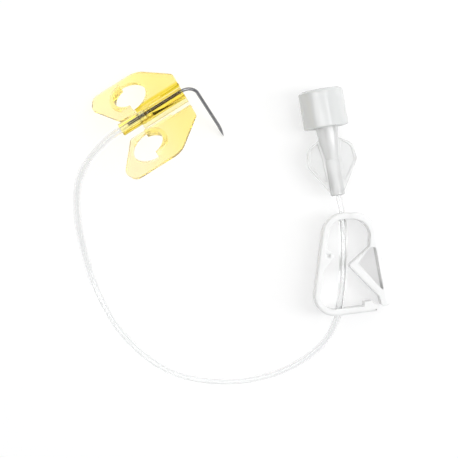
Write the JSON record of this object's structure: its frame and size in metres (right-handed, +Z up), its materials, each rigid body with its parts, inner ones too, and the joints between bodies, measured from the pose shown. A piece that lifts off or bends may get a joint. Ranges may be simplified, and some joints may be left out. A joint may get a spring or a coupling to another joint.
{
  "type": "huber needle",
  "caption": "Winged right-angle Huber needle with a yellow folding-wing hub, clear extension tube, white pinch clamp and capped winged female luer.",
  "frame": {"origin": "on the table under the middle of the winged needle's bounding box, measured without the tube and what hangs on it", "axes": "+Z up from the table the set lies on, +X to the right and +Y away in the picture, which looks straight down; the hub runs from its tube end towards +X and +Y"},
  "size_m": [0.0848, 0.0855, 0.0273],
  "materials": {
    "steel": "polished",
    "yellow_hub": "clear tinted",
    "yellow_wing": "clear tinted",
    "clear_tube": "clear",
    "white_luer": "translucent",
    "white_cap": "glossy",
    "white_clamp": "satin"
  },
  "bodies": {
    "needle_hub": {"hub": "yellow_hub", "cannula": "steel", "extension_tube": "clear_tube", "luer_connector": "white_luer"},
    "left_wing": {"left_wing": "yellow_wing"},
    "right_wing": {"right_wing": "yellow_wing"},
    "clamp": {"clamp_frame": "white_clamp", "clamp_latch": "white_clamp"},
    "clamp_arm": {"clamp_arm": "white_clamp"},
    "cap": {"luer_cap": "white_cap"}
  },
  "joints": [
    {"name": "left_wing_fold", "type": "hinge", "parent": "needle_hub", "child": "left_wing", "pos_m": [-0.00077, 0.0047, 0.0118], "axis": [0.8483, 0.528, 0.0384], "range_deg": [0, 78], "stiffness_Nm_per_rad": 0.006},
    {"name": "right_wing_fold", "type": "hinge", "parent": "needle_hub", "child": "right_wing", "pos_m": [0.00112, 0.00138, 0.01562], "axis": [-0.8483, -0.528, -0.0384], "range_deg": [0, 78], "stiffness_Nm_per_rad": 0.006},
    {"name": "clamp_slide", "type": "slide", "parent": "needle_hub", "child": "clamp", "axis": [0, 1, 0], "range_m": [0, 0.0035]},
    {"name": "clamp_close", "type": "hinge", "parent": "clamp", "child": "clamp_arm", "pos_m": [0.05683, -0.02803, 0.005], "axis": [0, 0, -1], "range_deg": [0, 20.5], "stiffness_Nm_per_rad": 0.004, "deforming": ["clamp_latch", "extension_tube"]},
    {"name": "cap_off", "type": "slide", "parent": "needle_hub", "child": "cap", "axis": [-0.1668, 0.986, 0], "range_m": [0, 0.014]}
  ]
}
